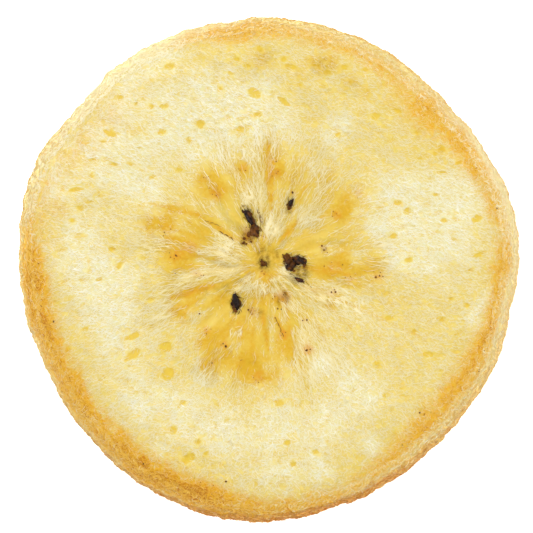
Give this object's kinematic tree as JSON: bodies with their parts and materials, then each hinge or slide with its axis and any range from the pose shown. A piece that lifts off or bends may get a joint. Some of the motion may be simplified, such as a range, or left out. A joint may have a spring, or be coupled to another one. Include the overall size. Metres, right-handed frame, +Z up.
{
  "type": "freeze-dried banana slice",
  "caption": "Round slice of freeze-dried banana with a toasted bulging rim, dished porous cut face, star-shaped core and tiny seeds.",
  "frame": {"origin": "middle of the slice's footprint, on the surface that its lower cut face rests on", "axes": "+Z up, square to the cut faces; +Y towards the top of the picture and +X towards its right, seen from above"},
  "size_m": [0.032, 0.0322, 0.0067],
  "materials": {
    "flesh": "matte",
    "fibre": "matte",
    "seed": "satin"
  },
  "bodies": {
    "root": {"banana_slice": "flesh"}
  },
  "joints": []
}
